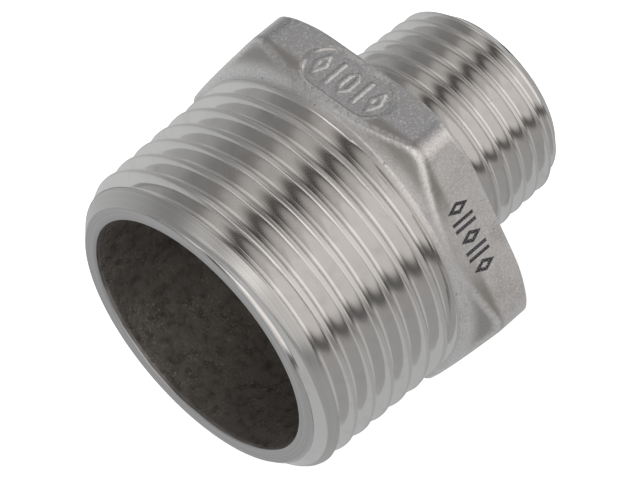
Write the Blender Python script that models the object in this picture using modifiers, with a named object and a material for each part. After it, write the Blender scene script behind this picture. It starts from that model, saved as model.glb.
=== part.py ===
"""Reducing hexagon nipple: a large and a small taper pipe thread either side of a hexagon, with one
bore right through. The pipe axis is X, from the large end to the small end, one flat of the hexagon
faces +Z, and the origin is on the axis at the middle of the length."""

import math

import bmesh
import bpy
from mathutils import Matrix

MM = 0.001

# Lengths along the axis.
LARGE_END_LENGTH = 17.65 * MM
HEX_WIDTH = 6.4 * MM
SMALL_END_LENGTH = 15.25 * MM

# Hexagon, with a 30 degree chamfer at each side. The chamfers start on circles a little inside the
# flats at the large end, and a little outside them at the small end. Each thread stops a short way
# from the hexagon, on a plain cast neck that stands a little proud of the threaded blank.
HEX_ACROSS_FLATS = 35.0 * MM
HEX_CORNER_RADIUS = 2.0 * MM
HEX_CORNER_STEPS = 4
LARGE_SIDE_CHAMFER_INSET = 0.7 * MM
SMALL_SIDE_CHAMFER_OUTSET = 1.0 * MM
HEX_CHAMFER_ANGLE = math.radians(30)
NECK_LENGTH = 0.5 * MM
NECK_MARGIN = 0.03 * MM

# Taper pipe threads, R 1 and R 1/2 of ISO 7-1. The gauge diameter is over the crests, at the gauge
# length from the end face. The clock angle turns the first groove about the axis. A 45 degree chamfer
# brings each end face this far inside the crests.
LARGE_GAUGE_DIAMETER = 33.249 * MM
LARGE_GAUGE_LENGTH = 10.4 * MM
LARGE_PITCH = 2.309 * MM
LARGE_CLOCK_ANGLE = math.radians(176)
SMALL_GAUGE_DIAMETER = 20.955 * MM
SMALL_GAUGE_LENGTH = 8.2 * MM
SMALL_PITCH = 1.814 * MM
SMALL_CLOCK_ANGLE = math.radians(160)
TAPER = 1 / 16
FLANK_ANGLE = math.radians(27.5)
DEPTH_PER_PITCH = 0.640327
LARGE_END_CHAMFER = 1.9 * MM
SMALL_END_CHAMFER = 1.47 * MM

# The blank is tapered as far as this height over the gauge radius, and parallel from there on.
BLANK_ALLOWANCE = 0.075 * MM

# The bore leaves a wall this thick under the thread's root at each end face, and a cone inside the
# fitting joins its two widths.
LARGE_END_WALL = 1.8 * MM
SMALL_END_WALL = 1.8 * MM
CONE_START_BEFORE_HEX = 1.0 * MM
CONE_END_INSIDE_HEX = 1.65 * MM

# Sunken oval on the top flat, with plain marks that rise from its floor. The rounding of its ends
# takes this share of its width at each side, and leaves a sliver of straight end between them.
OVAL_LENGTH = 9.9 * MM
OVAL_MARGIN = 0.53 * MM
OVAL_DEPTH = 0.25 * MM
OVAL_END_STEPS = 8
OVAL_END_SHARE = 0.49
MARK_STROKE = 0.45 * MM
MARK_WIDTH = 1.35 * MM
MARK_PITCH = 1.7 * MM
MARK_MARGIN = 0.95 * MM
MARK_BELOW_FLAT = 0.05 * MM

# Turned shapes that meet others are turned half a step on, so that their edges cross cleanly. Cutters
# run past what they cut, a groove's flanks run past its crests by this share of the pitch, and the
# groove starts this many pitches in front of its end face.
TURNED_STEPS = 36
HALF_STEP = math.pi / TURNED_STEPS
THREAD_STEPS = 26
OVERRUN = 1.0 * MM
FLANK_RUN_ON = 0.08
GROOVE_LEAD_IN = 1.5

NAME = "nipple_body"
HEX_BACK = LARGE_END_LENGTH + HEX_WIDTH
LENGTH = HEX_BACK + SMALL_END_LENGTH
FLAT_HEIGHT = HEX_ACROSS_FLATS / 2
CORNER_HEIGHT = FLAT_HEIGHT / math.cos(math.radians(30))
CHAMFER_SLOPE = math.tan(HEX_CHAMFER_ANGLE)
OVAL_WIDTH = HEX_WIDTH - LARGE_SIDE_CHAMFER_INSET * CHAMFER_SLOPE - 2 * OVAL_MARGIN
OVAL_MIDDLE = HEX_BACK - OVAL_MARGIN - OVAL_WIDTH / 2


def new_collection(name):
    made = bpy.data.collections.new(name)
    bpy.context.scene.collection.children.link(made)
    return made


def add_object(name, bm, group):
    mesh = bpy.data.meshes.new(name)
    bm.to_mesh(mesh)
    bm.free()
    obj = bpy.data.objects.new(name, mesh)
    group.objects.link(obj)
    if group.name == "cutters":
        obj.hide_render = True
        obj.display_type = "WIRE"
    return obj


def closed_object(name, bm, group):
    bmesh.ops.recalc_face_normals(bm, faces=bm.faces)
    return add_object(name, bm, group)


def turned(name, profile, first_angle=0.0):
    """Turns a profile of (distance along the axis, radius) points about the axis. The profile runs
    from the axis out, along the outer side towards +X, and back to the axis."""
    bm = bmesh.new()
    verts = [bm.verts.new((radius, 0, -along)) for along, radius in profile]
    bmesh.ops.rotate(bm, verts=verts, matrix=Matrix.Rotation(first_angle, 3, "Z"))
    for pair in zip(verts, verts[1:]):
        bm.edges.new(pair)
    obj = add_object(name, bm, cutters)
    obj.rotation_euler = (0, -math.pi / 2, 0)
    screw = obj.modifiers.new("turn", "SCREW")
    screw.steps = screw.render_steps = TURNED_STEPS
    screw.use_merge_vertices = True
    screw.merge_threshold = 0.00001
    return obj


def boolean(obj, other, operation):
    modifier = obj.modifiers.new(other.name, "BOOLEAN")
    modifier.operation = operation
    modifier.object = other


def crest_radius(gauge_diameter, gauge_length, depth):
    """Radius over the crests at a depth behind the end face."""
    return gauge_diameter / 2 + (depth - gauge_length) * TAPER / 2


def blank_radius(gauge_diameter):
    """Radius of the parallel stretch of the blank, past its taper."""
    return gauge_diameter / 2 + BLANK_ALLOWANCE


def groove(name, gauge_diameter, gauge_length, pitch, clock_angle, last_depth):
    """A tapered coil with the section of the groove between two crests. It starts in front of the
    end face, and the middle of its section ends at last_depth."""
    height = DEPTH_PER_PITCH * pitch
    lip = height + FLANK_RUN_ON * pitch
    half_root = (pitch / 2 - height * math.tan(FLANK_ANGLE)) / 2
    half_mouth = half_root + lip * math.tan(FLANK_ANGLE)
    root = crest_radius(gauge_diameter, gauge_length, 0) - height
    start = -GROOVE_LEAD_IN * pitch
    section = (
        (-half_mouth, root + height + OVERRUN),
        (-half_mouth, root + lip),
        (-half_root, root),
        (half_root, root),
        (half_mouth, root + lip),
        (half_mouth, root + height + OVERRUN),
    )
    bm = bmesh.new()
    face = bm.faces.new([bm.verts.new((start + along, 0, radius)) for along, radius in section])
    bmesh.ops.rotate(bm, verts=bm.verts, matrix=Matrix.Rotation(clock_angle, 3, "X"))
    steps = round((last_depth - start) / pitch * THREAD_STEPS)
    bmesh.ops.spin(
        bm,
        geom=[face, *face.edges, *face.verts],
        axis=(1, 0, 0),
        dvec=(pitch / THREAD_STEPS, 0, 0),
        angle=steps * math.tau / THREAD_STEPS,
        steps=steps,
    )
    for vert in bm.verts:
        radius = math.hypot(vert.co.y, vert.co.z)
        grown = 1 + vert.co.x * TAPER / 2 / radius
        vert.co.y *= grown
        vert.co.z *= grown
    return closed_object(name, bm, cutters)


def end_frame(name, place, turn):
    """An empty on the axis, with its X axis running into the fitting from one end face."""
    frame = bpy.data.objects.new(name, None)
    cutters.objects.link(frame)
    frame.location = (place, 0, 0)
    frame.rotation_euler = (0, 0, turn)
    return frame


def threaded_end(frame, gauge_diameter, gauge_length, pitch, clock_angle, end_chamfer, length):
    """A spigot with its end face at its frame. It runs on into the hexagon, whose neck closes its
    groove."""
    buried = HEX_WIDTH / 2
    face = crest_radius(gauge_diameter, gauge_length, 0) - end_chamfer
    chamfer = end_chamfer / (1 - TAPER / 2)
    blank_depth = gauge_length + BLANK_ALLOWANCE / (TAPER / 2)
    blank = blank_radius(gauge_diameter)
    back = length + buried
    profile = ((0, 0), (0, face), (chamfer, face + chamfer), (blank_depth, blank), (back, blank), (back, 0))
    spigot = turned(frame.name + "_spigot", profile)
    cutter = groove(
        frame.name + "_groove", gauge_diameter, gauge_length, pitch, clock_angle, length + pitch / 2
    )
    spigot.parent = cutter.parent = frame
    boolean(spigot, cutter, "DIFFERENCE")
    return spigot


def hexagon():
    """The hexagon with rounded corners and a flat towards +Z, wider than its chamfered shape."""
    bm = bmesh.new()
    width = HEX_WIDTH + 2 * OVERRUN
    bmesh.ops.create_cone(
        bm, cap_ends=True, segments=6, radius1=CORNER_HEIGHT, radius2=CORNER_HEIGHT, depth=width
    )
    corners = [edge for edge in bm.edges if abs(edge.verts[0].co.z - edge.verts[1].co.z) > width / 2]
    # A corner turns the flats through 60 degrees, so its arc starts this far along each of them.
    bmesh.ops.bevel(
        bm,
        geom=corners,
        offset=HEX_CORNER_RADIUS * math.tan(math.radians(30)),
        affect="EDGES",
        segments=HEX_CORNER_STEPS,
        profile=0.5,
        material=-1,
    )
    bmesh.ops.rotate(bm, verts=bm.verts, matrix=Matrix.Rotation(math.pi / 2, 3, "Y"))
    bmesh.ops.translate(bm, verts=bm.verts, vec=(LARGE_END_LENGTH + HEX_WIDTH / 2, 0, 0))
    return closed_object(NAME, bm, parts)


def chamfer_envelope():
    """The turned shape that leaves the hexagon its two chamfer cones and its two necks."""
    front = FLAT_HEIGHT - LARGE_SIDE_CHAMFER_INSET
    back = FLAT_HEIGHT + SMALL_SIDE_CHAMFER_OUTSET
    outer = CORNER_HEIGHT + OVERRUN
    large_neck = blank_radius(LARGE_GAUGE_DIAMETER) + NECK_MARGIN
    small_neck = blank_radius(SMALL_GAUGE_DIAMETER) + NECK_MARGIN
    profile = (
        (LARGE_END_LENGTH - NECK_LENGTH, 0),
        (LARGE_END_LENGTH - NECK_LENGTH, large_neck),
        (LARGE_END_LENGTH, large_neck),
        (LARGE_END_LENGTH, front),
        (LARGE_END_LENGTH + (outer - front) * CHAMFER_SLOPE, outer),
        (HEX_BACK - (outer - back) * CHAMFER_SLOPE, outer),
        (HEX_BACK, back),
        (HEX_BACK, small_neck),
        (HEX_BACK + NECK_LENGTH, small_neck),
        (HEX_BACK + NECK_LENGTH, 0),
    )
    return turned("chamfer_envelope", profile, HALF_STEP)


def bore():
    """The way through: two straight bores and the cone between them, run past both end faces."""
    large = crest_radius(LARGE_GAUGE_DIAMETER, LARGE_GAUGE_LENGTH, 0)
    large -= DEPTH_PER_PITCH * LARGE_PITCH + LARGE_END_WALL
    small = crest_radius(SMALL_GAUGE_DIAMETER, SMALL_GAUGE_LENGTH, 0)
    small -= DEPTH_PER_PITCH * SMALL_PITCH + SMALL_END_WALL
    profile = (
        (-OVERRUN, 0),
        (-OVERRUN, large),
        (LARGE_END_LENGTH - CONE_START_BEFORE_HEX, large),
        (HEX_BACK - CONE_END_INSIDE_HEX, small),
        (LENGTH + OVERRUN, small),
        (LENGTH + OVERRUN, 0),
    )
    return turned("bore", profile, HALF_STEP)


def sunken_oval():
    bm = bmesh.new()
    bmesh.ops.create_cube(bm, size=1)
    bmesh.ops.scale(bm, verts=bm.verts, vec=(OVAL_WIDTH, OVAL_LENGTH, 2 * OVAL_DEPTH))
    upright = [edge for edge in bm.edges if abs(edge.verts[0].co.z - edge.verts[1].co.z) > OVAL_DEPTH]
    bmesh.ops.bevel(
        bm,
        geom=upright,
        offset=OVAL_END_SHARE * OVAL_WIDTH,
        affect="EDGES",
        segments=OVAL_END_STEPS,
        profile=0.5,
        material=-1,
    )
    bmesh.ops.translate(bm, verts=bm.verts, vec=(OVAL_MIDDLE, 0, FLAT_HEIGHT))
    return closed_object("sunken_oval", bm, cutters)


def raised_mark(bm, sides, place):
    """A bar where sides is 0, or else a ring with that many sides, on the floor of the oval."""
    height = OVAL_WIDTH - 2 * MARK_MARGIN
    foot = FLAT_HEIGHT - OVAL_DEPTH - MARK_STROKE
    top = FLAT_HEIGHT - MARK_BELOW_FLAT
    if sides:
        made = bmesh.ops.create_circle(bm, cap_ends=True, segments=sides, radius=0.5)
        size = (height, MARK_WIDTH, 1)
    else:
        made = bmesh.ops.create_grid(bm, x_segments=1, y_segments=1, size=0.5)
        size = (height, MARK_STROKE, 1)
    verts = made["verts"]
    bmesh.ops.scale(bm, verts=verts, vec=size)
    bmesh.ops.translate(bm, verts=verts, vec=(OVAL_MIDDLE, place, foot))
    faces = [verts[0].link_faces[0]]
    if sides:
        ring = bmesh.ops.inset_region(bm, faces=faces, thickness=MARK_STROKE, use_boundary=True)
        bmesh.ops.delete(bm, geom=faces, context="FACES")
        faces = ring["faces"]
    risen = bmesh.ops.extrude_face_region(bm, geom=faces)["geom"]
    moved = [item for item in risen if isinstance(item, bmesh.types.BMVert)]
    bmesh.ops.translate(bm, verts=moved, vec=(0, 0, top - foot))


def raised_marks():
    bm = bmesh.new()
    for index, sides in enumerate((4, 0, 6, 0, 4)):
        raised_mark(bm, sides, (index - 2) * MARK_PITCH)
    return closed_object("raised_marks", bm, cutters)


def cast_steel():
    material = bpy.data.materials.new("cast_steel")
    material.use_nodes = True
    shader = material.node_tree.nodes["Principled BSDF"]
    shader.inputs["Base Color"].default_value = (0.60, 0.59, 0.57, 1)
    shader.inputs["Metallic"].default_value = 1
    shader.inputs["Roughness"].default_value = 0.35
    return material


def finish(obj):
    """Applies the Booleans, so that edges over 30 degrees can be marked sharp, and puts the origin
    at the middle of the length."""
    bpy.context.view_layer.update()
    graph = bpy.context.evaluated_depsgraph_get()
    mesh = bpy.data.meshes.new_from_object(obj.evaluated_get(graph))
    mesh.name = NAME
    obj.modifiers.clear()
    obj.data = mesh
    mesh.transform(Matrix.Translation((-LENGTH / 2, 0, 0)))
    mesh.shade_smooth()
    mesh.set_sharp_from_angle(angle=math.radians(30))
    mesh.materials.clear()
    mesh.materials.append(cast_steel())


for old in list(bpy.data.objects):
    bpy.data.objects.remove(old)
parts = new_collection("reducing_hex_nipple")
cutters = new_collection("cutters")

large_end = threaded_end(
    end_frame("large_end", 0, 0),
    LARGE_GAUGE_DIAMETER,
    LARGE_GAUGE_LENGTH,
    LARGE_PITCH,
    LARGE_CLOCK_ANGLE,
    LARGE_END_CHAMFER,
    LARGE_END_LENGTH,
)
small_end = threaded_end(
    end_frame("small_end", LENGTH, math.pi),
    SMALL_GAUGE_DIAMETER,
    SMALL_GAUGE_LENGTH,
    SMALL_PITCH,
    SMALL_CLOCK_ANGLE,
    SMALL_END_CHAMFER,
    SMALL_END_LENGTH,
)

body = hexagon()
boolean(body, chamfer_envelope(), "INTERSECT")
boolean(body, large_end, "UNION")
boolean(body, small_end, "UNION")
boolean(body, bore(), "DIFFERENCE")
boolean(body, sunken_oval(), "DIFFERENCE")
boolean(body, raised_marks(), "UNION")
finish(body)
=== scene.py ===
import math
import bmesh
import bpy
from mathutils import Matrix, Vector, noise


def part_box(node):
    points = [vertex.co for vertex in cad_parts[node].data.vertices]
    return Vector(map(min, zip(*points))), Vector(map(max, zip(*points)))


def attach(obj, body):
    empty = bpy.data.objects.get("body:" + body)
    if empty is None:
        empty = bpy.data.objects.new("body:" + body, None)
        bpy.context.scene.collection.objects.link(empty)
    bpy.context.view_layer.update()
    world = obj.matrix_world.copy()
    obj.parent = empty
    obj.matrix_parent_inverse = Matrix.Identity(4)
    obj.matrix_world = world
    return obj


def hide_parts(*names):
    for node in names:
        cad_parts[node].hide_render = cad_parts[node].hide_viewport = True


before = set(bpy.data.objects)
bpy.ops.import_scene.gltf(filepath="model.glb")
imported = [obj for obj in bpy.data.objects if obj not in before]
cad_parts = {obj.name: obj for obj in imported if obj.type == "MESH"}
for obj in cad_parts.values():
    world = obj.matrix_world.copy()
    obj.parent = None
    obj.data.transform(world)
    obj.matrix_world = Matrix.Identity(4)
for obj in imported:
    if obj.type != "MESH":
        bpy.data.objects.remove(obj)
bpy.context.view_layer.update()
mm = 0.001
low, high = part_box("nipple_body")
print("frame loaded")


def softMin(a, b, reach):
    gap = max(reach - abs(a - b), 0)
    return min(a, b) - gap * gap / (4 * reach)


def smoothStep(value):
    value = min(max(value, 0), 1)
    return value * value * (3 - 2 * value)


def radiusOf(point):
    return math.hypot(point.y, point.z)


def setRadius(vert, radius):
    grown = radius / radiusOf(vert.co)
    vert.co.y *= grown
    vert.co.z *= grown


def castLumps(point, size):
    return noise.noise(point / size)


def roundedPath(corners, spacing):
    # corners are (along, radius, reach of the rounding), and spacing gives the step between two of them
    path = []
    points = [Vector(corner[:2]) for corner in corners]
    last = len(corners) - 1
    leave = points[0]
    bendSteps = 5
    for index in range(1, last + 1):
        here, reach = points[index], corners[index][2]
        arrive = here + (points[index - 1] - here).normalized() * (reach if index < last else 0)
        straight = (arrive - leave).length
        if straight > 0.001 * mm:
            steps = math.ceil(straight / spacing(leave, arrive))
            path += [leave.lerp(arrive, step / steps) for step in range(steps)]
        if index == last:
            path.append(here)
            break
        leave = here + (points[index + 1] - here).normalized() * reach
        for step in range(bendSteps):
            share = step / bendSteps
            path.append(arrive.lerp(here, share).lerp(here.lerp(leave, share), share))
    return path


def turn(path, columns):
    bm = bmesh.new()
    verts = [bm.verts.new((along, 0, radius)) for along, radius in path]
    edges = [bm.edges.new(pair) for pair in zip(verts, verts[1:])]
    bmesh.ops.spin(
        bm,
        geom=verts + edges,
        cent=(0, 0, 0),
        axis=(1, 0, 0),
        angle=math.tau,
        steps=columns,
        use_merge=True,
    )
    return bm


def rimEdges(bm, start, end):
    reach = 0.005 * mm
    edges = [edge for edge in bm.edges if edge.is_boundary]
    return [edge for edge in edges if all(start - reach < vert.co.x < end + reach for vert in edge.verts)]


def addRing(bm, edges, place, radius):
    made = bmesh.ops.extrude_edge_only(bm, edges=edges)["geom"]
    verts = {item for item in made if isinstance(item, bmesh.types.BMVert)}
    for vert in verts:
        vert.co.x = place
        setRadius(vert, radius)
    return [item for item in made if isinstance(item, bmesh.types.BMEdge) and verts.issuperset(item.verts)]


# the two taper threads, each measured from its own end face into the fitting
threadForm = {
    "taper": 1 / 32,  # on the radius
    "depth": 0.640327,  # shares of the pitch
    "rounding": 0.137329,
    "lean": math.radians(62.5),  # turn of the surface from a crest to a flank
    "arcSteps": 5,
    "flankSteps": 3,
    "rimDepth": 0.12 * mm,
    "rimBlend": 0.05 * mm,
    "skinBlend": 0.03 * mm,
    "skinRough": 0.035 * mm,
    "skinLump": 0.5 * mm,
    "seamMerge": 0.003 * mm,
    "rimMerge": 0.05 * mm,
    "neckRise": 0.03 * mm,
    "neckRings": (  # past the thread's end, below the neck
        (0.05 * mm, 0.06 * mm),
        (0.12 * mm, 0.01 * mm),
        (0.2 * mm, 0),
    ),
    "runOut": 0.5 * mm,  # the first groove is cut this much deeper where it leaves over the chamfer
    "runOutReach": 1.6 * mm,
}
largeThread = {
    "face": low.x,
    "side": 1,
    "pitch": 2.309 * mm,
    "crestRadius": (33.249 / 2 - 10.4 / 32) * mm,  # over the crests, at the end face
    "firstCrest": 1.18 * mm,  # where the top line of the pipe meets the first crest
    "faceRadius": 14.4 * mm,
    "blankRadius": 16.7 * mm,
    "length": 17.15 * mm,
    "columns": 204,
}
smallThread = {
    "face": high.x,
    "side": -1,
    "pitch": 1.814 * mm,
    "crestRadius": (20.955 / 2 - 8.2 / 32) * mm,
    "firstCrest": 1.006 * mm,
    "faceRadius": 8.75 * mm,
    "blankRadius": 10.55 * mm,
    "length": 14.75 * mm,
    "columns": 156,
}


def threadTurn(pitch):
    # (along, below the crest) over one pitch, from the foot of one crest's rounding to the next
    rounding = threadForm["rounding"] * pitch
    lean, arcSteps, flankSteps = threadForm["lean"], threadForm["arcSteps"], threadForm["flankSteps"]
    depth = threadForm["depth"] * pitch
    arc = []
    for step in range(arcSteps + 1):
        angle = lean * (2 * step / arcSteps - 1)
        arc.append(Vector((rounding * math.sin(angle), rounding * (1 - math.cos(angle)))))
    root = [Vector((pitch / 2 + point.x, depth - point.y)) for point in arc]
    again = Vector((arc[0].x + pitch, arc[0].y))
    down = [arc[-1].lerp(root[0], step / flankSteps) for step in range(1, flankSteps)]
    rise = [root[-1].lerp(again, step / flankSteps) for step in range(1, flankSteps)]
    return arc + down + root + rise


def threadSkin(thread):
    bm = bmesh.new()
    pitch, side, face = thread["pitch"], thread["side"], thread["face"]
    verts = []
    for crest in range(-2, math.ceil(thread["length"] / pitch) + 2):
        for along, below in threadTurn(pitch):
            depth = thread["firstCrest"] + crest * pitch + along
            verts.append(bm.verts.new((face + side * depth, 0, thread["crestRadius"] - below)))
    edges = [bm.edges.new(pair) for pair in zip(verts, verts[1:])]
    columns = thread["columns"]
    bmesh.ops.spin(
        bm,
        geom=verts + edges,
        cent=(0, 0, 0),
        axis=(1, 0, 0),
        dvec=(pitch / columns, 0, 0),
        angle=math.tau,
        steps=columns,
    )
    bmesh.ops.remove_doubles(bm, verts=bm.verts, dist=threadForm["seamMerge"])
    fullDepth = threadForm["depth"] * pitch
    for vert in bm.verts:
        depth = side * (vert.co.x - face)
        radius = radiusOf(vert.co) + depth * threadForm["taper"]
        sunk = (thread["crestRadius"] + depth * threadForm["taper"] - radius) / fullDepth
        radius -= threadForm["runOut"] * smoothStep(1 - depth / threadForm["runOutReach"]) * sunk * sunk
        radius = softMin(radius, thread["faceRadius"] + depth, threadForm["rimBlend"])
        skin = thread["blankRadius"] + threadForm["skinRough"] * castLumps(vert.co, threadForm["skinLump"])
        setRadius(vert, softMin(radius, skin, threadForm["skinBlend"]))
    for depth, way in ((threadForm["rimDepth"], -side), (thread["length"], side)):
        place = face + side * depth
        bmesh.ops.bisect_plane(
            bm,
            geom=bm.verts[:] + bm.edges[:] + bm.faces[:],
            dist=0.001 * mm,
            plane_co=(place, 0, 0),
            plane_no=(way, 0, 0),
            clear_outer=True,
        )
        rim = {vert for edge in rimEdges(bm, place, place) for vert in edge.verts}
        inTurn = sorted(rim, key=lambda vert: math.atan2(vert.co.y, vert.co.z))  # the same order each run
        bmesh.ops.remove_doubles(bm, verts=inTurn, dist=threadForm["rimMerge"])
    back = face + side * thread["length"]
    edge = rimEdges(bm, back, back)
    neck = thread["blankRadius"] + threadForm["neckRise"]
    for past, below in threadForm["neckRings"]:
        edge = addRing(bm, edge, back + side * past, neck - below)
    return bm


# the hexagon and the marks on its top flat
hexagon = {
    "front": low.x + 17.65 * mm,
    "back": low.x + 24.05 * mm,
    "flat": high.z,
    "cornerRadius": 2.6 * mm,
    "backCircle": 18.5 * mm,
    "blankRadius": 20.6 * mm,
    "slope": math.tan(math.radians(30)),
    "edgeBlend": 0.75 * mm,
    "backRounding": 0.4 * mm,
    "backDome": 0.03 * mm,
    "columns": 288,
    "neck": 0.3 * mm,
    "neckGap": 0.05 * mm,
    "neckRounding": 0.25 * mm,
    "chamferRounding": 0.3 * mm,
    "domeRounding": 0.2 * mm,
    "rimRounding": 0.05 * mm,
    "step": 0.6 * mm,
    "fineStep": 0.12 * mm,
    "waves": 0.012 * mm,
    "waveSize": 2.5 * mm,
    "wearAndSheenReach": 0.9 * mm,  # reach of the rubbed look and painted highlight from an edge
}
oval = {
    "middle": low.x + 21.05 * mm,
    "halfLength": 4.95 * mm,
    "halfWidth": 2.44 * mm,
    "depth": 0.25 * mm,
    "wall": 0.28 * mm,
    "stroke": 0.4 * mm,
    "markHeight": 1.5 * mm,  # half the height of a mark
    "markWidth": 0.68 * mm,  # half the width of a ring
    "pitch": 1.7 * mm,
    "ringSlope": 0.5,
    "ringTip": 0.9,
    "top": 0.03 * mm,
    "border": 0.35 * mm,
    "fineAcross": 0.8 * mm,  # how far the finer columns reach past the oval
    "fineAlong": 0.2 * mm,
}


def flatRadius(angle, along):
    # distance from the axis to the rounded hexagon, at an angle from the middle of the top flat
    corner = math.radians(30)
    toCorner = corner - abs((angle + corner) % (2 * corner) - corner)
    rounding, flat = hexagon["cornerRadius"], hexagon["flat"]
    centre = (flat - rounding) / math.cos(corner)
    if toCorner < math.atan2(rounding * math.sin(corner), centre + rounding * math.cos(corner)):
        across = centre * math.sin(toCorner)
        radius = centre * math.cos(toCorner) + math.sqrt(rounding * rounding - across * across)
    else:
        radius = flat / math.cos(corner - toCorner)
    past = along - hexagon["back"] + hexagon["backRounding"]
    if past > 0:
        edge = hexagon["backRounding"]
        radius -= edge - math.sqrt(max(edge * edge - past * past, 0))
    return radius


def chamferRadius(along):
    front = largeThread["blankRadius"] + (along - hexagon["front"]) / hexagon["slope"]
    back = hexagon["backCircle"] + (hexagon["back"] - along) / hexagon["slope"]
    return min(front, back, hexagon["blankRadius"])


def hexagonSkin():
    front, back, slope = hexagon["front"], hexagon["back"], hexagon["slope"]
    neck, gap, outer = hexagon["neck"], hexagon["neckGap"], hexagon["blankRadius"]
    neckRounding, chamferRounding = hexagon["neckRounding"], hexagon["chamferRounding"]
    largeNeck = largeThread["blankRadius"] + threadForm["neckRise"]
    smallNeck = smallThread["blankRadius"] + threadForm["neckRise"]
    backEdge = hexagon["flat"] - hexagon["backRounding"]
    corners = (
        (front - neck + gap, largeNeck, 0),
        (front, largeNeck, neckRounding),
        (front + (outer - largeThread["blankRadius"]) * slope, outer, chamferRounding),
        (back - (outer - hexagon["backCircle"]) * slope, outer, chamferRounding),
        (back - hexagon["backDome"], hexagon["backCircle"], hexagon["domeRounding"]),
        (back, backEdge, hexagon["rimRounding"]),
        (back, smallNeck, neckRounding),
        (back + neck - gap, smallNeck, 0),
    )

    def spacing(start, end):
        length, rise = (end - start).length, abs(end.x - start.x)
        return hexagon["step"] if rise < 0.1 * length else hexagon["fineStep"] * length / rise

    bm = turn(roundedPath(corners, spacing), hexagon["columns"])
    reachAcross = oval["halfLength"] + oval["fineAcross"]
    reachAlong = oval["halfWidth"] + oval["fineAlong"]
    same = 0.001 * mm
    around = []
    for edge in bm.edges:  # finer columns under the oval
        one, two = (vert.co for vert in edge.verts)
        level = abs(one.x - two.x) < same and abs(radiusOf(one) - radiusOf(two)) < same
        inside = abs(one.x - oval["middle"]) < reachAlong and max(abs(one.y), abs(two.y)) < reachAcross
        if level and inside and one.z > 0:
            around.append(edge)
    bmesh.ops.subdivide_edges(bm, edges=around, cuts=2, use_grid_fill=True)
    for vert in bm.verts:
        pressed = flatRadius(math.atan2(vert.co.y, vert.co.z), vert.co.x)
        pressed += hexagon["waves"] * castLumps(vert.co, hexagon["waveSize"])
        if radiusOf(vert.co) > pressed - hexagon["edgeBlend"]:
            setRadius(vert, softMin(radiusOf(vert.co), pressed, hexagon["edgeBlend"]))
    return bm


def markShape(across, along):
    # how far a point is outside the nearest mark's stroke: a ring in the middle, then bars, then diamonds
    index = min(max(round(across / oval["pitch"]), -2), 2)
    across = abs(across - index * oval["pitch"])
    along = abs(along)
    height, width, stroke = oval["markHeight"], oval["markWidth"], oval["stroke"] / 2
    if index in (-1, 1):
        return max(across - stroke, along - height)
    if index:
        distance = (across / width + along / height - 1) * width * height / math.hypot(width, height)
    else:
        end = across / width * oval["ringSlope"] + along / height - 1
        distance = max(across - width, end * height * oval["ringTip"])
    return abs(distance + stroke) - stroke


def markRise(point):
    return 1 - smoothStep(markShape(point.y, point.x - oval["middle"]) / oval["wall"] + 0.5)


def ovalRelief(bm):
    for vert in bm.verts:
        if vert.co.z < hexagon["flat"] - 0.1 * mm or abs(vert.co.y) > oval["halfLength"]:
            continue
        along = vert.co.x - oval["middle"]
        across = max(abs(vert.co.y) - oval["halfLength"] + oval["halfWidth"], 0)
        sunk = smoothStep((oval["halfWidth"] - math.hypot(across, along)) / oval["wall"])
        vert.co.z -= (oval["depth"] - (oval["depth"] - oval["top"]) * markRise(vert.co)) * sunk


def edgeWearAndSheen(point):
    # how much a point of the hexagon is rubbed and carries painted highlight: most on its edges, on the
    # raised marks and round the oval's rim
    if not hexagon["front"] < point.x < hexagon["back"]:
        return 0
    pressed = flatRadius(math.atan2(point.y, point.z), point.x)
    wornAndSheen = 1 - smoothStep(abs(chamferRadius(point.x) - pressed) / hexagon["wearAndSheenReach"])
    floor = hexagon["flat"] - oval["depth"] - 0.05 * mm
    if point.z > floor and abs(point.y) < oval["halfLength"] + 0.4 * mm:
        across = max(abs(point.y) - oval["halfLength"] + oval["halfWidth"], 0)
        inside = oval["halfWidth"] - math.hypot(across, point.x - oval["middle"])
        wornAndSheen += markRise(point) * smoothStep(inside / oval["wall"])
        wornAndSheen += 1 - smoothStep(abs(inside) / oval["border"])
    return min(wornAndSheen, 1)


# the bore, with the two end faces
bore = {
    "large": 13.02 * mm,
    "small": 7.25 * mm,
    "coneStart": low.x + 16.65 * mm,
    "coneEnd": low.x + 22.4 * mm,
    "columns": 144,
    "rimRounding": 0.22 * mm,
    "smallRimRounding": 0.2 * mm,
    "coneRounding": 1.5 * mm,
    "faceRounding": 0.05 * mm,
    "step": 0.6 * mm,
    "faceStep": 0.35 * mm,
    "coarse": 0.06 * mm,
    "coarseSize": 2.5 * mm,
    "fine": 0.03 * mm,
    "fineSize": 0.9 * mm,
    "smoothRim": 0.35 * mm,
}


def boreSkin():
    rim = threadForm["rimDepth"] / 2
    faceRounding, coneRounding = bore["faceRounding"], bore["coneRounding"]
    corners = (
        (low.x + rim, largeThread["faceRadius"] + rim, 0),
        (low.x, largeThread["faceRadius"], faceRounding),
        (low.x, bore["large"], bore["rimRounding"]),
        (bore["coneStart"], bore["large"], coneRounding),
        (bore["coneEnd"], bore["small"], coneRounding),
        (high.x, bore["small"], bore["smallRimRounding"]),
        (high.x, smallThread["faceRadius"], faceRounding),
        (high.x - rim, smallThread["faceRadius"] + rim, 0),
    )

    def spacing(start, end):
        return bore["step"] if start.x != end.x else bore["faceStep"]

    bm = turn(roundedPath(corners, spacing), bore["columns"])
    for vert in bm.verts:
        inside = smoothStep(min(vert.co.x - low.x, high.x - vert.co.x) / bore["smoothRim"])
        lumps = bore["coarse"] * castLumps(vert.co, bore["coarseSize"])
        lumps += bore["fine"] * castLumps(vert.co, bore["fineSize"])
        setRadius(vert, radiusOf(vert.co) + inside * lumps)
    return bm


def joinSkins(skins):
    whole = bmesh.new()
    for skin, slot in skins:
        for face in skin.faces:
            face.material_index = slot
        scratch = bpy.data.meshes.new("skin")
        skin.to_mesh(scratch)
        skin.free()
        whole.from_mesh(scratch)
        bpy.data.meshes.remove(scratch)
    return whole


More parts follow.
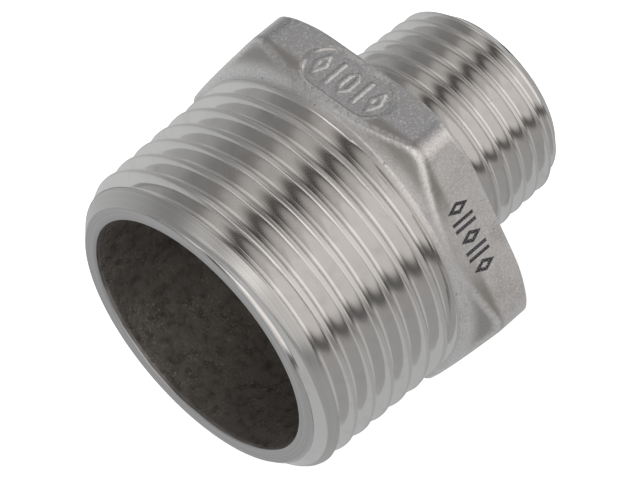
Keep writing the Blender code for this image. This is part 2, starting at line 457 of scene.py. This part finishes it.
def buildNipple():
    middle = hexagonSkin()
    ovalRelief(middle)
    threads = threadSkin(largeThread), threadSkin(smallThread)
    bm = joinSkins(((threads[0], 0), (threads[1], 0), (middle, 1), (boreSkin(), 2)))
    front, back, neck, gap = hexagon["front"], hexagon["back"], hexagon["neck"], hexagon["neckGap"]
    rim = threadForm["rimDepth"]
    for start, end in (
        (front - neck, front - neck + gap),
        (back + neck - gap, back + neck),
        (low.x + rim / 2, low.x + rim),
        (high.x - rim, high.x - rim / 2),
    ):
        bmesh.ops.bridge_loops(bm, edges=rimEdges(bm, start, end))
    bmesh.ops.recalc_face_normals(bm, faces=bm.faces)
    wornAndSheen = bm.verts.layers.float.new("wornAndSheen")
    for vert in bm.verts:
        vert[wornAndSheen] = edgeWearAndSheen(vert.co)
    print("nipple has", sum(len(face.verts) - 2 for face in bm.faces), "triangles")
    mesh = bpy.data.meshes.new("nippleBody")
    bm.to_mesh(mesh)
    bm.free()
    mesh.shade_smooth()
    obj = bpy.data.objects.new("nippleBody", mesh)
    bpy.context.scene.collection.objects.link(obj)
    return obj


class Wire:
    # a shader socket that takes part in plain expressions
    def __init__(self, socket):
        self.socket = socket

    @staticmethod
    def make(tree, kind, settings, inputs, output=0):
        node = tree.nodes.new(kind)
        for name, value in settings.items():
            setattr(node, name, value)
        for name, value in inputs.items():
            if isinstance(value, Wire):
                tree.links.new(value.socket, node.inputs[name])
            else:
                node.inputs[name].default_value = value
        return Wire(node.outputs[output])

    def calc(self, operation, *values):
        tree = self.socket.id_data
        return Wire.make(tree, "ShaderNodeMath", {"operation": operation}, dict(enumerate(values)))

    def math(self, operation, *others):
        return self.calc(operation, self, *others)

    def __add__(self, other):
        return self.calc("ADD", self, other)

    def __radd__(self, other):
        return self.calc("ADD", other, self)

    def __sub__(self, other):
        return self.calc("SUBTRACT", self, other)

    def __rsub__(self, other):
        return self.calc("SUBTRACT", other, self)

    def __mul__(self, other):
        return self.calc("MULTIPLY", self, other)

    def __rmul__(self, other):
        return self.calc("MULTIPLY", other, self)

    def __truediv__(self, other):
        return self.calc("DIVIDE", self, other)

    def __rtruediv__(self, other):
        return self.calc("DIVIDE", other, self)

    def __abs__(self):
        return self.math("ABSOLUTE")

    def least(self, other):
        return self.math("MINIMUM", other)

    def most(self, other):
        return self.math("MAXIMUM", other)

    def step(self, start, end):
        # a smooth rise from 0 at start to 1 at end, or a fall where end is the smaller
        fall = end < start
        inputs = {"Value": self, "From Min": min(start, end), "From Max": max(start, end)}
        tree = self.socket.id_data
        rise = Wire.make(tree, "ShaderNodeMapRange", {"interpolation_type": "SMOOTHSTEP"}, inputs)
        return 1 - rise if fall else rise


class Surface:
    # one material's Principled shader, with the places its patterns are read from
    def __init__(self, name):
        self.material = bpy.data.materials.new(name)
        self.material.use_nodes = True
        self.tree = self.material.node_tree
        self.shader = self.tree.nodes["Principled BSDF"]
        self.place = self.node("ShaderNodeTexCoord", {}, {}, "Object")
        parts = {0: self.place}
        self.x, self.y, self.z = (self.node("ShaderNodeSeparateXYZ", {}, parts, axis) for axis in "XYZ")
        self.radius = (self.y * self.y + self.z * self.z).math("SQRT")
        self.angle = self.y.math("ARCTAN2", self.z)

    def node(self, kind, settings, inputs, output=0):
        return Wire.make(self.tree, kind, settings, inputs, output)

    def noise(self, size, detail=2, vector=None):
        inputs = {"Vector": vector or self.place, "Scale": 1 / size, "Detail": detail}
        return self.node("ShaderNodeTexNoise", {}, inputs, "Fac")

    def spots(self, size, reach, share):
        # round spots in this share of the cells of a scattered grid
        inputs = {"Vector": self.place, "Scale": 1 / size}
        distance = self.node("ShaderNodeTexVoronoi", {}, inputs, "Distance")
        cell = self.node("ShaderNodeTexVoronoi", {}, inputs, "Color")
        chosen = self.node("ShaderNodeSeparateColor", {}, {0: cell}, "Red").step(share + 0.01, share)
        return distance.step(reach, reach * 0.5) * chosen

    def toolLines(self, size):
        # fine lines that run round the axis
        parts = {0: self.x, 1: self.radius, 2: self.angle * 0.05 * mm}
        return self.noise(size, 1, self.node("ShaderNodeCombineXYZ", {}, parts))

    def mix(self, factor, one, two):
        one, two = (colour if isinstance(colour, Wire) else (*colour, 1) for colour in (one, two))
        return self.node("ShaderNodeMix", {"data_type": "RGBA"}, {0: factor, 6: one, 7: two}, 2)

    def finish(self, colour, roughness, metallic, height):
        normal = self.node("ShaderNodeBump", {}, {"Height": height, "Distance": 1.0, "Strength": 1.0})
        values = {"Base Color": colour, "Roughness": roughness, "Metallic": metallic, "Normal": normal}
        for name, value in values.items():
            if isinstance(value, Wire):
                self.tree.links.new(value.socket, self.shader.inputs[name])
            else:
                self.shader.inputs[name].default_value = value
        return self.material


# the steel's finishes: turned threads, cast skin and the rough bore, with painted shade on the top flat and
# the hexagon's front cone, and a lighter colour for rubbed edges and marks that is partly painted highlight
steel = {
    "turned": (0.71, 0.7, 0.69),
    "turnedDull": (0.58, 0.57, 0.55),
    "crest": (0.56, 0.55, 0.53),
    "cast": (0.67, 0.66, 0.655),
    # painted shade: the top flat is coloured darker and bluer than the other flats
    "topFlatShade": (0.5, 0.505, 0.52),
    "castStain": (0.42, 0.4, 0.38),
    "castSpeckle": (0.86, 0.85, 0.84),
    # rubbed steel, also standing for painted highlight on the hexagon's edges and marks
    "wornAndSheen": (0.72, 0.71, 0.69),
    "face": (0.44, 0.435, 0.43),
    "bore": (0.32, 0.3, 0.28),
    "boreGrain": (0.55, 0.52, 0.48),
    "boreDark": (0.17, 0.155, 0.14),
    # painted shade on the hexagon's front cone
    "coneShade": (0.3, 0.28, 0.26),
}
castSkin = {
    "rough": 0.33,
    "grain": 0.2 * mm,
    "grainHeight": 0.016 * mm,
    "blotch": 2.2 * mm,
    "blotchHeight": 0.02 * mm,
    "speckle": 0.42 * mm,
    "speckleReach": 0.34,  # spots: the radius as a share of a cell, and the share of cells that hold one
    "speckleShare": 0.3,
    "specklePatch": 1.2 * mm,
    "pit": 1.1 * mm,
    "pitReach": 0.13,
    "pitShare": 0.35,
    "pitDepth": 0.02 * mm,
}
turnedSkin = {
    "rough": 0.08,
    "patch": 1.6 * mm,
    "line": 0.14 * mm,
    "lineHeight": 0.0002 * mm,
    "nick": 2.4 * mm,
    "nickReach": 0.06,
    "nickShare": 0.3,
    "nickDepth": 0.012 * mm,
    "crest": (-0.16 * mm, -0.04 * mm),  # from the line over the crests
    "chamfer": (-0.12 * mm, -0.04 * mm),  # from the chamfer's own cone
    "blank": (-0.05 * mm, -0.02 * mm),  # from the cast blank
}
boreWall = {
    "rough": 0.14,
    "roughSpread": 0.15,
    "scale": 0.9 * mm,
    "scaleHeight": 0.06 * mm,
    "grain": 0.22 * mm,
    "grainPatch": 3 * mm,
    "pebble": 0.25 * mm,
    "pebbleHeight": 0.02 * mm,
    "faceRough": 0.34,
    "faceLine": 0.12 * mm,
    "faceLineHeight": 0.0012 * mm,
    "start": (0.15 * mm, 0.6 * mm),  # depth over which the end face's finish gives way to the wall's
}


def castFinish(surface):
    # colour, roughness and height of the cast skin, with painted shade on the top flat
    blotch = surface.noise(castSkin["blotch"], 3)
    grain = surface.noise(castSkin["grain"], 3)
    # painted shade: the skin of the top flat turns darker and bluer
    top = surface.z.step(hexagon["flat"] - 0.6 * mm, hexagon["flat"] - 0.2 * mm)
    speckle = surface.spots(castSkin["speckle"], castSkin["speckleReach"], castSkin["speckleShare"])
    speckle = speckle * surface.noise(castSkin["specklePatch"]).step(0.42, 0.6)
    pit = surface.spots(castSkin["pit"], castSkin["pitReach"], castSkin["pitShare"])
    colour = surface.mix(top, steel["cast"], steel["topFlatShade"])
    colour = surface.mix(blotch.step(0.54, 0.34) * 0.25, colour, steel["castStain"])
    colour = surface.mix(grain.step(0.5, 0.3) * 0.3, colour, steel["castStain"])
    colour = surface.mix(grain.step(0.48, 0.7) * 0.5, colour, steel["castSpeckle"])
    colour = surface.mix(speckle * 0.6, colour, steel["castSpeckle"])
    colour = surface.mix(pit * 0.7, colour, steel["bore"])
    roughness = castSkin["rough"] + 0.14 * blotch + 0.1 * speckle
    height = grain * castSkin["grainHeight"] + blotch * castSkin["blotchHeight"] - pit * castSkin["pitDepth"]
    return colour, roughness, height


def turnedMaterial():
    surface = Surface("turnedSteel")
    past = surface.x.step(-0.01 * mm, 0.01 * mm)
    blank = largeThread["blankRadius"] + past * (smallThread["blankRadius"] - largeThread["blankRadius"])
    skin = (surface.radius - blank).step(*turnedSkin["blank"])
    castColour, castRoughness, castHeight = castFinish(surface)
    patches = surface.noise(turnedSkin["patch"], 3)
    lines = surface.toolLines(turnedSkin["line"])
    nick = surface.spots(turnedSkin["nick"], turnedSkin["nickReach"], turnedSkin["nickShare"])
    colour = surface.mix(patches.step(0.5, 0.75) * 0.35, steel["turned"], steel["turnedDull"])
    colour = surface.mix(nick, colour, steel["wornAndSheen"])
    colour = surface.mix(skin, colour, surface.mix(0.5, castColour, steel["castSpeckle"]))
    crestHere = largeThread["crestRadius"] + (surface.x - low.x) * threadForm["taper"]
    crestThere = smallThread["crestRadius"] + (high.x - surface.x) * threadForm["taper"]
    outside = (crestHere + past * (crestThere - crestHere)).least(blank)
    crest = (surface.radius - outside).step(*turnedSkin["crest"])
    colour = surface.mix(crest * 0.7, colour, steel["crest"])
    faceHere = largeThread["faceRadius"] + surface.x - low.x
    faceThere = smallThread["faceRadius"] + high.x - surface.x
    cone = faceHere + past * (faceThere - faceHere)
    chamfer = (surface.radius - cone).step(*turnedSkin["chamfer"])
    colour = surface.mix(chamfer, colour, surface.mix(lines, steel["face"], steel["turnedDull"]))
    roughness = turnedSkin["rough"] + 0.05 * patches + 0.03 * lines
    roughness = roughness + 0.2 * nick + 0.12 * crest + 0.14 * chamfer
    roughness = roughness + skin * (castRoughness - roughness)
    height = lines * turnedSkin["lineHeight"] - nick * turnedSkin["nickDepth"]
    height = height + skin * (castHeight - height)
    return surface.finish(colour, roughness, 1, height)


# printed dots on the flat next to the oval, in a row of plain shapes
ink = {
    "flat": math.radians(60),  # turn from the top flat
    "middle": low.x + 20.6 * mm,
    "start": -0.3 * mm,
    "pitch": 1.6 * mm,
    "halfWidth": 0.62 * mm,
    "halfHeight": 1.3 * mm,
    "stroke": 0.17 * mm,
    "dot": 0.31 * mm,
    "barAside": 0.36 * mm,
    "patch": 0.16 * mm,
    "colour": (0.018, 0.016, 0.021),
}


def inkMask(surface):
    sine, cosine = math.sin(ink["flat"]), math.cos(ink["flat"])
    above = surface.z * cosine - surface.y * sine
    across = surface.y * cosine + surface.z * sine - ink["start"]
    along = abs(surface.x - ink["middle"])
    index = (across / ink["pitch"]).math("ROUND")
    within = abs(across - index * ink["pitch"])
    odd = abs(index).math("MODULO", 2)
    width, height, stroke = ink["halfWidth"], ink["halfHeight"], ink["stroke"]
    slant = width * height / math.hypot(width, height)
    diamond = abs((within / width + along / height - 1) * slant + stroke)
    bars = abs(within - ink["barAside"]).most(along - height + stroke)
    shape = (diamond * (1 - odd) + bars * odd).step(stroke + 0.05 * mm, stroke - 0.03 * mm)
    dotAcross = abs((across / ink["dot"]).math("FRACT") - 0.5)
    dotAlong = abs((along / ink["dot"]).math("FRACT") - 0.5)
    dots = (dotAcross * dotAcross + dotAlong * dotAlong).step(0.5, 0.3)
    patchy = surface.noise(ink["patch"]).step(0.2, 0.34)
    inRow = abs(index).step(2.6, 2.4) * above.step(hexagon["flat"] - 0.5 * mm, hexagon["flat"] - 0.3 * mm)
    return shape * dots * patchy * inRow


def castMaterial():
    surface = Surface("castSteel")
    colour, roughness, height = castFinish(surface)
    # real rubbing and painted highlight: the hexagon's edges, raised marks and the oval's rim are coloured
    # lighter
    wornAndSheen = surface.node("ShaderNodeAttribute", {"attribute_name": "wornAndSheen"}, {}, "Fac")
    rubbedAndSheen = wornAndSheen * surface.noise(0.4 * mm).step(0.3, 0.6)
    inked = inkMask(surface)
    # painted shade: the hexagon's front cone darkens towards the corners, less where the edges are rubbed
    coneShade = (surface.x - hexagon["front"]).step(2.6 * mm, 1.9 * mm)
    coneShade = coneShade * surface.radius.step(17.2 * mm, 18.4 * mm)
    colour = surface.mix(coneShade * (1 - wornAndSheen) * 0.75, colour, steel["coneShade"])
    colour = surface.mix(rubbedAndSheen * 0.7, colour, steel["wornAndSheen"])
    colour = surface.mix(inked, colour, ink["colour"])
    roughness = roughness - 0.12 * rubbedAndSheen + 0.1 * inked
    return surface.finish(colour, roughness, 1 - inked, height)


def boreMaterial():
    surface = Surface("boreSteel")
    depth = (surface.x - low.x).least(high.x - surface.x)
    inside = depth.step(*boreWall["start"])
    scale = surface.noise(boreWall["scale"], 4)
    grain = surface.noise(boreWall["grain"]).step(0.5, 0.75)
    grain = grain * surface.noise(boreWall["grainPatch"]).step(0.35, 0.6)
    colour = surface.mix(scale.step(0.2, 0.6), steel["boreDark"], steel["bore"])
    colour = surface.mix(grain, colour, steel["boreGrain"])
    lines = surface.toolLines(boreWall["faceLine"])
    faceColour = surface.mix(lines.step(0.4, 0.7) * 0.3, steel["face"], steel["turned"])
    colour = surface.mix(inside, faceColour, colour)
    roughness = boreWall["faceRough"] + 0.06 * lines
    roughness = roughness + inside * (boreWall["rough"] + boreWall["roughSpread"] * scale)
    pebbles = surface.noise(boreWall["pebble"]) * boreWall["pebbleHeight"]
    height = lines * boreWall["faceLineHeight"] + inside * (scale * boreWall["scaleHeight"] + pebbles)
    return surface.finish(colour, roughness, 1, height)


nippleBody = buildNipple()
for material in (turnedMaterial(), castMaterial(), boreMaterial()):
    nippleBody.data.materials.append(material)
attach(nippleBody, "root")
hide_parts("nipple_body")
print("nipple finished")

# camera, floor and light
cameraSettings = {
    "target": Vector((-3.115, 0.219, -1.547)) * mm,
    "distance": 390.0 * mm,
    "azimuth": math.radians(-43.326),
    "elevation": math.radians(51.961),
    "roll": math.radians(-3.541),
    "lens": 235.4,
}
studio = {
    "level": 0.56,
    "turn": math.radians(30),  # from straight up towards -Y, where the angles below start
    "middle": 16.5,  # the panels and gaps bend away from this angle towards both ends of the pipe
    "bend": 37,
    "panels": (  # middle, half width and soft edge in degrees round the pipe, and gain
        (28, 12, 11, 0.44),
        (5, 5, 10, 0.2),
        (-50, 5, 10, 0.2),
        (-150, 8, 35, 0.12),
        (-24, 2, 13, -0.44),
        (-75, 8, 28, -0.22),
        (56, 2, 9, -0.4),
    ),
    "arcStart": 23,  # degrees from the pipe's axis
    "arcRise": 27,  # how much further off it is at this turn round the pipe
    "arcReach": 104,
    "arcHalf": 2.5,
    "arcSoft": 3.5,
    "arcs": ((-38, 32, 22, 0.9), (27, 12, 14, -0.26)),
    "cool": (0.98, 0.99, 1.0),
    "warm": (1.0, 0.965, 0.94),
    "floor": 0.9,
    "floorGlow": 0.7,
    "lamp": 2.0,
}


def buildCamera():
    data = bpy.data.cameras.new("camera")
    data.lens = cameraSettings["lens"]
    data.sensor_width = 36
    data.clip_start, data.clip_end = 0.01, 20
    camera = bpy.data.objects.new("camera", data)
    bpy.context.scene.collection.objects.link(camera)
    azimuth, elevation = cameraSettings["azimuth"], cameraSettings["elevation"]
    level = Vector((math.sin(azimuth), -math.cos(azimuth), 0)) * math.cos(elevation)
    back = level + Vector((0, 0, math.sin(elevation)))
    camera.rotation_mode = "QUATERNION"
    camera.location = cameraSettings["target"] + back * cameraSettings["distance"]
    aim = (-back).to_track_quat("-Z", "Y").to_matrix()
    camera.rotation_quaternion = (Matrix.Rotation(cameraSettings["roll"], 3, back) @ aim).to_quaternion()
    bpy.context.scene.camera = camera


def buildWorld():
    # an even soft studio, with a few broad panels and dark gaps that run along the pipe
    world = bpy.data.worlds.new("studio")
    world.use_nodes = True
    tree = world.node_tree
    way = Wire.make(tree, "ShaderNodeTexCoord", {}, {}, "Generated")
    x, y, z = (Wire.make(tree, "ShaderNodeSeparateXYZ", {}, {0: way}, axis) for axis in "XYZ")
    sine, cosine = math.sin(studio["turn"]), math.cos(studio["turn"])
    towards = z * cosine - y * sine
    across = 0 - y * cosine - z * sine
    angle = across.math("ARCTAN2", towards) * math.degrees(1)
    aside = angle - studio["middle"]
    spread = (abs(aside) - studio["bend"] * (x * x)).most(0)
    bent = aside.math("SIGN") * spread + studio["middle"]
    level = studio["level"]
    for middle, half, soft, gain in studio["panels"]:
        level = level + gain * abs(bent - middle).step(half + soft, half)
    fromAxis = (0 - x).math("ARCCOSINE") * math.degrees(1)
    bend = (angle / studio["arcReach"]).math("POWER", 4)
    offArc = abs(fromAxis - studio["arcStart"] - studio["arcRise"] * bend)
    onArc = offArc.step(studio["arcHalf"] + studio["arcSoft"], studio["arcHalf"])
    for middle, half, soft, gain in studio["arcs"]:
        level = level + gain * onArc * abs(angle - middle).step(half + soft, half)
    colours = {0: towards.step(-0.5, 0.8), 6: (*studio["cool"], 1), 7: (*studio["warm"], 1)}
    colour = Wire.make(tree, "ShaderNodeMix", {"data_type": "RGBA"}, colours, 2)
    background = tree.nodes["Background"]
    tree.links.new(colour.socket, background.inputs["Color"])
    tree.links.new(level.socket, background.inputs["Strength"])
    bpy.context.scene.world = world


def buildFloor():
    bm = bmesh.new()
    bmesh.ops.create_grid(bm, x_segments=1, y_segments=1, size=2.5)
    bmesh.ops.translate(bm, verts=bm.verts, vec=(0, 0, low.z))
    mesh = bpy.data.meshes.new("floor")
    bm.to_mesh(mesh)
    bm.free()
    floor = bpy.data.objects.new("floor", mesh)
    bpy.context.scene.collection.objects.link(floor)
    material = bpy.data.materials.new("paleFloor")
    material.use_nodes = True
    shader = material.node_tree.nodes["Principled BSDF"]
    shader.inputs["Base Color"].default_value = (studio["floor"],) * 3 + (1,)
    shader.inputs["Roughness"].default_value = 0.9
    shader.inputs["Emission Color"].default_value = (1, 1, 1, 1)
    shader.inputs["Emission Strength"].default_value = studio["floorGlow"]
    mesh.materials.append(material)
    floor.visible_glossy = False


def buildLamp():
    data = bpy.data.lights.new("topPanel", "AREA")
    data.shape = "DISK"
    data.size = 0.6
    data.energy = studio["lamp"]
    panel = bpy.data.objects.new("topPanel", data)
    bpy.context.scene.collection.objects.link(panel)
    panel.location = (-0.2, 0.3, 0.7)
    panel.rotation_euler = panel.location.to_track_quat("Z", "Y").to_euler()
    panel.visible_glossy = False


buildCamera()
buildWorld()
buildFloor()
buildLamp()
bpy.context.scene.view_settings.view_transform = "Standard"
print("stage built")
